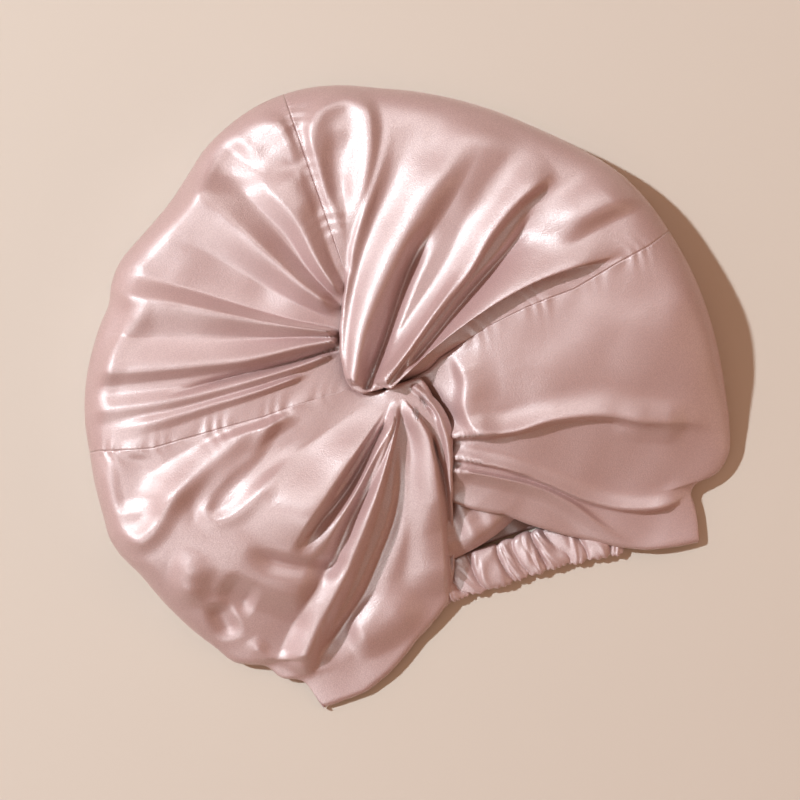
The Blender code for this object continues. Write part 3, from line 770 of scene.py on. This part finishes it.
# %% The inner flap
# Columns: share of the flap's length, share of reach, height in shares of the crown height.
FLAP_LINE = [
    (0.0, 0.330, 0.42), (0.3, 0.385, 0.43), (0.6, 0.440, 0.42), (0.85, 0.487, 0.36),
    (1.0, 0.512, 0.20),
]
FLAP_COLUMNS = 90
FLAP_ROWS = 60
FLAP_FROM = 262.0
FLAP_SPREAD = 33.0
FLAP_FOLD = 1.7 * MM
FLAP_FOLDS = 3.1
FLAP_CREASE = 0.8 * MM
FLAP_CREASES = 7.3
FLAP_TILT = 4 * MM
FLAP_DISTANCE = 90 * MM


def flap_sheet():
    """Angle by distance, with a swell along it, a tilt, and broad and fine cosines across it."""
    along = np.linspace(0, 1, FLAP_ROWS)[None, :]
    across = np.linspace(0, 1, FLAP_COLUMNS)[:, None]
    table = np.asarray(FLAP_LINE)
    radius = smooth_through(table[:, [0, 1]], along) * REACH * np.ones_like(across)
    height = smooth_through(table[:, [0, 2]], along) * CROWN_HEIGHT
    angle = np.radians(FLAP_FROM + FLAP_SPREAD * across)
    fold = FLAP_FOLD * np.cos(across * FLAP_FOLDS * math.pi + 0.9) * (0.3 + 0.7 * along)
    fold = fold + FLAP_CREASE * np.cos(across * FLAP_CREASES * math.pi + 3 * along)
    fold = fold + FLAP_TILT * (across - 0.5)
    z = height + fold * (1 - soft_step(0.8, 1, along))
    outer = np.stack([TWIST[0] + radius * np.cos(angle), TWIST[1] + radius * np.sin(angle), z], -1)
    piece = closed_sheet("satin_flap", outer, outer - np.array([0, 0, CLOTH]))
    add_cloth_map(piece, angle * FLAP_DISTANCE * np.ones_like(radius), radius)
    return piece


inner_flap = flap_sheet()
print("flap", len(inner_flap.data.polygons), "faces")

# %% [markdown]
# ## The back
#
# The back lies on the table and nothing of it shows in the picture, so it is plain: a flat sheet
# of the same satin inside the rolled rim, with faint gathers towards the elastic edge.

# %% The back panel
BACK_COLUMNS = 360
BACK_ROWS = 60
BACK_START = 0.01
BACK_LIFT = 0.05 * MM
BACK_GATHER = 0.35 * MM
BACK_GATHERS = 46
BACK_GATHERS_FROM = 0.55
GAP_TO_RIM = 1.0 * MM
GAP_TO_BAND = 0.5 * MM
EDGE_POINTS = 200


def rim_limit(degrees):
    """How far the back reaches inside the rolled rim, in each direction from the twist."""
    first, last = OUTLINE[0][0], OUTLINE[-1][0]
    turned = np.where(degrees > first + 360, degrees - 360, degrees)
    return smooth_through(OUTLINE, np.clip(turned, first, last)) * REACH - TURN_UNDER - GAP_TO_RIM


def mouth_limit(degrees):
    """How far it reaches to the elastic edge, and whether the elastic edge lies that way at all."""
    x, y, forward, _ = path_frame(BAND_LINE, EDGE_POINTS)
    inside = BAND_WIDTH / 2 + GAP_TO_BAND
    edge_x, edge_y = x - forward[:, 1] * inside, y + forward[:, 0] * inside
    edge_angle = np.degrees(np.arctan2(edge_y, edge_x)) % 360
    order = np.argsort(edge_angle)
    reach = np.interp(degrees, edge_angle[order], np.hypot(edge_x, edge_y)[order])
    return reach, (degrees > edge_angle.min()) & (degrees < edge_angle.max())


def back_sheet():
    """From the twist out to the rim's inner edge, or to the elastic edge where the mouth is.

    The gathers are 1 + cosine round the twist, and they rise towards the elastic edge."""
    turn = np.linspace(0, 2 * math.pi, BACK_COLUMNS, endpoint=False)[:, None]
    rim = rim_limit(np.degrees(turn))
    mouth, faces_mouth = mouth_limit(np.degrees(turn))
    limit = np.where(faces_mouth, mouth, rim)
    share = np.linspace(BACK_START, 1, BACK_ROWS)[None, :]
    radius = limit * share
    gather = BACK_GATHER * (1 + np.cos(turn * BACK_GATHERS))
    gather = gather * soft_step(BACK_GATHERS_FROM, 1, share) * (limit < rim - TINY)
    x, y = TWIST[0] + radius * np.cos(turn), TWIST[1] + radius * np.sin(turn)
    low = np.stack([x, y, BACK_LIFT + gather * 0.5], -1)
    high = np.stack([x, y, BACK_LIFT + CLOTH + gather], -1)
    rings = np.concatenate([low, high[:, ::-1]], 1).transpose(1, 0, 2)
    piece = closed_tube("satin_back", rings)
    add_cloth_map(piece, rings[..., 0], rings[..., 1], 1)
    return piece


back_panel = back_sheet()
print("back", len(back_panel.data.polygons), "faces")

# %% [markdown]
# ## The satin
#
# Satin floats long threads over its face, so it mirrors more light than plain cloth does, and the
# threads draw each highlight out in a broad streak. A surface of medium roughness with a strong
# reflection, a thin coat and some sheen does that. The threads also give it a fine grain, which one
# shader group makes for all the panels.

# %% The satin group
THREAD_SCALE, THREAD_DETAIL = 1400.0, 2.0
CLOUD_SCALE, CLOUD_DETAIL = 28.0, 3.0
CREASE_SCALE, CREASE_DETAIL = 70.0, 2.0
NOISE_RANGE = (0.3, 0.7)
ROUGHNESS_RANGE = (0.36, 0.56)
CLOUD_SHARE = 0.4
# Numbers of the mix node's colour sockets, which share their names with its other sockets.
MIX_A, MIX_B, MIX_RESULT = 6, 7, 2


def noise(tree, scale, detail):
    """A noise of the given scale over the object's own coordinates."""
    node = tree.nodes.new("ShaderNodeTexNoise")
    node.inputs["Scale"].default_value = scale
    node.inputs["Detail"].default_value = detail
    coordinates = tree.nodes.new("ShaderNodeTexCoord")
    tree.links.new(coordinates.outputs["Object"], node.inputs["Vector"])
    return node.outputs["Fac"]


def spread(tree, value, low, high):
    """A noise's usual range stretched to the range from low to high."""
    node = tree.nodes.new("ShaderNodeMapRange")
    node.inputs["From Min"].default_value = NOISE_RANGE[0]
    node.inputs["From Max"].default_value = NOISE_RANGE[1]
    node.inputs["To Min"].default_value = low
    node.inputs["To Max"].default_value = high
    tree.links.new(value, node.inputs["Value"])
    return node.outputs["Result"]


def multiply_add(tree, value, factor, addend):
    """value * factor + addend, where the factor is a number or another node's output."""
    node = tree.nodes.new("ShaderNodeMath")
    node.operation = "MULTIPLY_ADD"
    tree.links.new(value, node.inputs[0])
    if isinstance(factor, float):
        node.inputs[1].default_value = factor
    else:
        tree.links.new(factor, node.inputs[1])
    tree.links.new(addend, node.inputs[2])
    return node.outputs["Value"]


def satin_group():
    """Thread grain, soft creasing and a slow change of tone, as values for any satin material."""
    group = bpy.data.node_groups.new("satin_weave", "ShaderNodeTree")
    face = group.interface
    face.new_socket("Tone", in_out="INPUT", socket_type="NodeSocketColor")
    face.new_socket("Shade", in_out="INPUT", socket_type="NodeSocketColor")
    face.new_socket("Grain", in_out="INPUT", socket_type="NodeSocketFloat")
    face.new_socket("Colour", in_out="OUTPUT", socket_type="NodeSocketColor")
    face.new_socket("Roughness", in_out="OUTPUT", socket_type="NodeSocketFloat")
    face.new_socket("Height", in_out="OUTPUT", socket_type="NodeSocketFloat")
    given = group.nodes.new("NodeGroupInput")
    result = group.nodes.new("NodeGroupOutput")
    thread = noise(group, THREAD_SCALE, THREAD_DETAIL)
    cloud = noise(group, CLOUD_SCALE, CLOUD_DETAIL)
    crease = noise(group, CREASE_SCALE, CREASE_DETAIL)
    mix = group.nodes.new("ShaderNodeMix")
    mix.data_type = "RGBA"
    speckle = spread(group, thread, 0.0, 1.0)
    blend = multiply_add(group, cloud, CLOUD_SHARE, speckle)
    group.links.new(blend, mix.inputs["Factor"])
    group.links.new(given.outputs["Tone"], mix.inputs[MIX_A])
    group.links.new(given.outputs["Shade"], mix.inputs[MIX_B])
    group.links.new(mix.outputs[MIX_RESULT], result.inputs["Colour"])
    group.links.new(spread(group, thread, *ROUGHNESS_RANGE), result.inputs["Roughness"])
    height = multiply_add(group, thread, given.outputs["Grain"], crease)
    group.links.new(height, result.inputs["Height"])
    return group


weave = satin_group()
print("satin group:", len(weave.nodes), "nodes")

# %% The satin itself
SATIN_TONE = (0.545, 0.348, 0.336)
SATIN_SHADE = (0.425, 0.256, 0.247)
SATIN_GRAIN = 0.85
BUMP_DISTANCE = 0.4 * MM
BUMP_STRENGTH = 0.5
SATIN_SOCKETS = {
    "IOR": 1.75,
    "Specular IOR Level": 0.85,
    "Anisotropic": 0.3,
    "Sheen Weight": 0.22,
    "Sheen Tint": (1.0, 0.82, 0.74, 1.0),
    "Sheen Roughness": 0.4,
    "Coat Weight": 0.22,
    "Coat Roughness": 0.32,
}


def satin_material(name, tone, shade, grain):
    """A satin material that uses the weave group with its own tone."""
    material = bpy.data.materials.new(name)
    material.use_nodes = True
    nodes, links = material.node_tree.nodes, material.node_tree.links
    surface = nodes["Principled BSDF"]
    threads = nodes.new("ShaderNodeGroup")
    threads.node_tree = weave
    threads.inputs["Tone"].default_value = (*tone, 1.0)
    threads.inputs["Shade"].default_value = (*shade, 1.0)
    threads.inputs["Grain"].default_value = grain
    bump = nodes.new("ShaderNodeBump")
    bump.inputs["Distance"].default_value = BUMP_DISTANCE
    bump.inputs["Strength"].default_value = BUMP_STRENGTH
    for socket, value in SATIN_SOCKETS.items():
        surface.inputs[socket].default_value = value
    links.new(threads.outputs["Colour"], surface.inputs["Base Color"])
    links.new(threads.outputs["Roughness"], surface.inputs["Roughness"])
    links.new(threads.outputs["Height"], bump.inputs["Height"])
    links.new(bump.outputs["Normal"], surface.inputs["Normal"])
    links.new(bump.outputs["Normal"], surface.inputs["Coat Normal"])
    fibre = nodes.new("ShaderNodeTangent")
    fibre.direction_type = "UV_MAP"
    fibre.uv_map = "cloth"
    links.new(fibre.outputs["Tangent"], surface.inputs["Tangent"])
    return material


# Which piece takes the place of which node of the frame.
PANEL_NODES = {
    "left_panel": left_panel,
    "top_panel": top_panel,
    "right_panel": right_panel,
    "lower_panel": lower_panel,
    "inner_flap": inner_flap,
    "back_panel": back_panel,
    "elastic_band": elastic_band,
}
satin = satin_material("blush_satin", SATIN_TONE, SATIN_SHADE, SATIN_GRAIN)
for piece in PANEL_NODES.values():
    piece.data.materials.append(satin)
print("materials:", [material.name for material in bpy.data.materials])

# %% [markdown]
# ## Joining the satin to the frame
#
# Each piece rides on the frame's only body and takes the place of one solid.

# %% Join the panels to the frame
for node, piece in PANEL_NODES.items():
    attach(piece, "root")
    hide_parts(node)
    areas = np.zeros(len(piece.data.polygons))
    piece.data.polygons.foreach_get("area", areas)

# %% [markdown]
# ## Table, light and camera
#
# The bonnet lies on a pale tabletop and is seen from straight above. One crisp, cool light comes
# from the left and a little above in the picture, and a warm bounce and a warm room fill the
# shadows. Satin also needs something to mirror, so three wide windows show only in its gloss.

# %% Table
TABLE_HALF = 2
TABLE_COLOUR = (0.67, 0.60, 0.525, 1)
TABLE_ROUGHNESS = 0.8

corners = [(TABLE_HALF * x, TABLE_HALF * y, 0) for x, y in ((-1, -1), (1, -1), (1, 1), (-1, 1))]
table_mesh = bpy.data.meshes.new("tabletop")
table_mesh.from_pydata(corners, [], [(0, 1, 2, 3)])
tabletop = bpy.data.objects.new("tabletop", table_mesh)
bpy.context.scene.collection.objects.link(tabletop)
table_material = bpy.data.materials.new("warm_table")
table_material.use_nodes = True
table_surface = table_material.node_tree.nodes["Principled BSDF"]
table_surface.inputs["Base Color"].default_value = TABLE_COLOUR
table_surface.inputs["Roughness"].default_value = TABLE_ROUGHNESS
table_mesh.materials.append(table_material)
print("table:", 2 * TABLE_HALF, "m wide")

# %% Light
# Columns: name, direction in the picture and elevation in degrees, distance and size in metres,
# power in watts, colour, and whether it shows in gloss only.
LIGHTS = [
    ("key", 158, 46, 4.0, 0.16, 158, (0.86, 0.95, 1.0), False),
    ("bounce", -12, 20, 3.0, 2.0, 13, (1.0, 0.74, 0.58), False),
    ("window", 158, 29, 3.0, 2.0, 54, (0.90, 0.97, 1.0), True),
    ("low_window", 230, 44, 3.0, 2.3, 62, (0.90, 0.97, 1.0), True),
    ("high_window", 82, 52, 3.0, 2.2, 60, (0.94, 0.97, 0.98), True),
]
ROOM_COLOUR = (1.0, 0.54, 0.33, 1)
ROOM_STRENGTH = 0.38


def area_light(name, picture_degrees, elevation, distance, size, power, colour, gloss_only):
    """A square light that looks at the bonnet, placed by its direction in the picture."""
    light = bpy.data.lights.new(name, "AREA")
    light.energy = power
    light.size = size
    light.color = colour
    lamp = bpy.data.objects.new(name, light)
    bpy.context.scene.collection.objects.link(lamp)
    lamp.visible_diffuse = not gloss_only
    angle = math.radians(picture_degrees - PICTURE_TURN)
    up = math.radians(elevation)
    flat = math.cos(up)
    away = Vector((math.cos(angle) * flat, math.sin(angle) * flat, math.sin(up)))
    lamp.location = away * distance
    lamp.rotation_euler = (-away).to_track_quat("-Z", "Y").to_euler()


for row in LIGHTS:
    area_light(*row)

world = bpy.data.worlds.new("studio")
bpy.context.scene.world = world
world.use_nodes = True
world.node_tree.nodes["Background"].inputs["Color"].default_value = ROOM_COLOUR
world.node_tree.nodes["Background"].inputs["Strength"].default_value = ROOM_STRENGTH
bpy.context.scene.view_settings.view_transform = "Standard"
print("lights:", [row[0] for row in LIGHTS])

# %% Camera
CAMERA_HEIGHT = 1.6
PICTURE_WIDTH = 440 * MM
PICTURE_HEIGHT_OVER_TABLE = 30 * MM
PICTURE_MIDDLE = (TWIST[0] + 4.85 * MM, TWIST[1] - 9.38 * MM)
SENSOR_WIDTH = 36

camera = bpy.data.cameras.new("camera")
camera.sensor_width = SENSOR_WIDTH
camera.lens = SENSOR_WIDTH * (CAMERA_HEIGHT - PICTURE_HEIGHT_OVER_TABLE) / PICTURE_WIDTH
camera_object = bpy.data.objects.new("camera", camera)
camera_object.location = (*PICTURE_MIDDLE, CAMERA_HEIGHT)
camera_object.rotation_euler = (0, 0, -math.radians(PICTURE_TURN))
bpy.context.scene.collection.objects.link(camera_object)
bpy.context.scene.camera = camera_object
print("camera lens:", round(camera.lens, 1), "mm")
